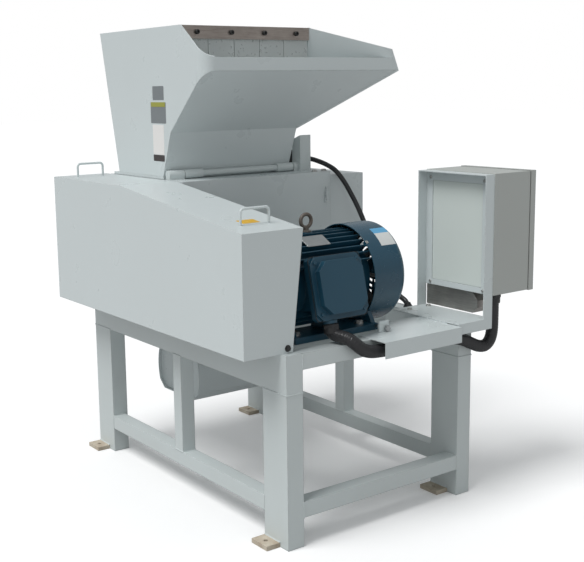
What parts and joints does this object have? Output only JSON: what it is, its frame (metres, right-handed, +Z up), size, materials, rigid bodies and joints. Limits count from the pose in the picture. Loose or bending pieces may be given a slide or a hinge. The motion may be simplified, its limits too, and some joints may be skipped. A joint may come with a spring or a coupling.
{
  "type": "plastic granulator",
  "caption": "Plastic granulator on a welded tube stand, with a tilting feed hopper, a belt-driven knife rotor, a motor, a guard and a control cabinet.",
  "frame": {"origin": "middle of the four anchor holes, on the floor", "axes": "+X to the machine's right seen from the motor side, +Y from the motor side to the cutting chamber, +Z up"},
  "size_m": [1.1665, 1.336, 1.58],
  "materials": {
    "frame_paint": "satin",
    "cover_paint": "satin",
    "motor_paint": "satin paint",
    "steel": "machined",
    "clamp_steel": "brushed",
    "black_rubber": "matte",
    "black_plastic": "matte",
    "curtain_plastic": "matte",
    "green_plastic": "gloss",
    "red_plastic": "gloss",
    "lug_paint": "matte",
    "cabinet_paint": "satin"
  },
  "bodies": {
    "base": {"frame_uprights": "frame_paint", "anchor_lugs": "lug_paint", "top_beams": "frame_paint", "frame_rails": "frame_paint", "cable_cover": "cover_paint", "tension_tab": "cover_paint", "motor_housing": "motor_paint", "motor_end_shield": "motor_paint", "fan_cowl": "motor_paint", "terminal_box": "motor_paint", "terminal_lid": "motor_paint", "lifting_eye": "steel", "motor_stator": "steel", "motor_conduit": "black_rubber", "drive_belts": "black_rubber", "chamber_left_plate": "frame_paint", "chamber_right_plate": "frame_paint", "chamber_front_wall": "frame_paint", "chamber_rear_wall": "frame_paint", "chamber_top": "cover_paint", "chamber_covers": "cover_paint", "flywheel_cover": "cover_paint", "bearing_housings": "motor_paint", "fixed_knives": "steel", "screen": "steel", "screen_cradle": "frame_paint", "discharge_funnel": "cover_paint", "hinge_post": "frame_paint", "hinge_rod": "frame_paint", "limit_switch": "black_plastic", "switch_cable": "black_rubber", "control_bracket": "cover_paint", "cabinet_body": "cabinet_paint", "switchgear": "cabinet_paint", "cable_duct": "cabinet_paint"},
    "hopper": {"hopper_shell": "cover_paint", "hopper_flange": "cover_paint", "hinge_sleeves": "frame_paint", "clamp_bar": "clamp_steel", "splash_curtain": "curtain_plastic"},
    "rotor": {"rotor_shaft": "steel", "rotor_body": "frame_paint", "rotor_knives": "steel", "rotor_pulley": "steel", "flywheel": "steel"},
    "motor_rotor": {"motor_shaft": "steel", "motor_pulley": "steel", "cooling_fan": "black_plastic"},
    "guard": {"belt_guard": "cover_paint", "guard_handles": "cover_paint"},
    "door": {"cabinet_door": "cabinet_paint"},
    "start": {"start_button": "green_plastic"},
    "stop": {"stop_button": "red_plastic"},
    "mushroom": {"emergency_stop": "red_plastic"},
    "rotary_switch": {"main_switch": "black_plastic"},
    "lock": {"door_lock": "steel"},
    "drawer": {"collecting_drawer": "cover_paint"},
    "knob_left": {"hold_down_knob_left": "black_plastic"},
    "knob_right": {"hold_down_knob_right": "black_plastic"},
    "tension": {"tension_screw": "steel"}
  },
  "joints": [
    {"name": "hopper_tilt", "type": "hinge", "parent": "base", "child": "hopper", "pos_m": [0.036, 0.173, 1.072], "axis": [1, 0, 0], "range_deg": [0, 70]},
    {"name": "rotor_spin", "type": "hinge", "parent": "base", "child": "rotor", "pos_m": [0.036, 0.3145, 0.8], "axis": [1, 0, 0], "continuous": true},
    {"name": "motor_spin", "type": "hinge", "parent": "base", "child": "motor_rotor", "pos_m": [-0.07, -0.3765, 0.76], "axis": [1, 0, 0], "continuous": true},
    {"name": "guard_lift", "type": "slide", "parent": "base", "child": "guard", "axis": [0, 0, 1], "range_m": [0, 0.45]},
    {"name": "door_swing", "type": "hinge", "parent": "base", "child": "door", "pos_m": [0.674, -0.3665, 0.88], "axis": [0, 0, 1], "range_deg": [0, 110]},
    {"name": "start_press", "type": "slide", "parent": "door", "child": "start", "axis": [-1, 0, 0], "range_m": [0, 0.004], "stiffness_N_per_m": 300, "springref_m": -0.002},
    {"name": "stop_press", "type": "slide", "parent": "door", "child": "stop", "axis": [-1, 0, 0], "range_m": [0, 0.004], "stiffness_N_per_m": 300, "springref_m": -0.002},
    {"name": "emergency_press", "type": "slide", "parent": "door", "child": "mushroom", "axis": [-1, 0, 0], "range_m": [0, 0.004], "stiffness_N_per_m": 500, "springref_m": -0.002},
    {"name": "main_switch_turn", "type": "hinge", "parent": "door", "child": "rotary_switch", "pos_m": [0.675, -0.5305, 1.02], "axis": [1, 0, 0], "range_deg": [0, 90]},
    {"name": "door_lock_turn", "type": "hinge", "parent": "door", "child": "lock", "pos_m": [0.675, -0.6605, 0.86], "axis": [1, 0, 0], "range_deg": [0, 90]},
    {"name": "drawer_slide", "type": "slide", "parent": "base", "child": "drawer", "axis": [0, 1, 0], "range_m": [0, 0.35]},
    {"name": "knob_left_turn", "type": "hinge", "parent": "hopper", "child": "knob_left", "pos_m": [-0.18, 0.5515, 1.07], "axis": [0, 0, 1], "continuous": true},
    {"name": "knob_right_turn", "type": "hinge", "parent": "hopper", "child": "knob_right", "pos_m": [0.25, 0.5515, 1.07], "axis": [0, 0, 1], "continuous": true},
    {"name": "tension_screw_turn", "type": "hinge", "parent": "base", "child": "tension", "pos_m": [0.096, -0.5705, 0.614], "axis": [0, 1, 0], "continuous": true}
  ],
  "couplings": [
    {"joint": "motor_spin", "follows": "rotor_spin", "ratio": 2.5286}
  ]
}
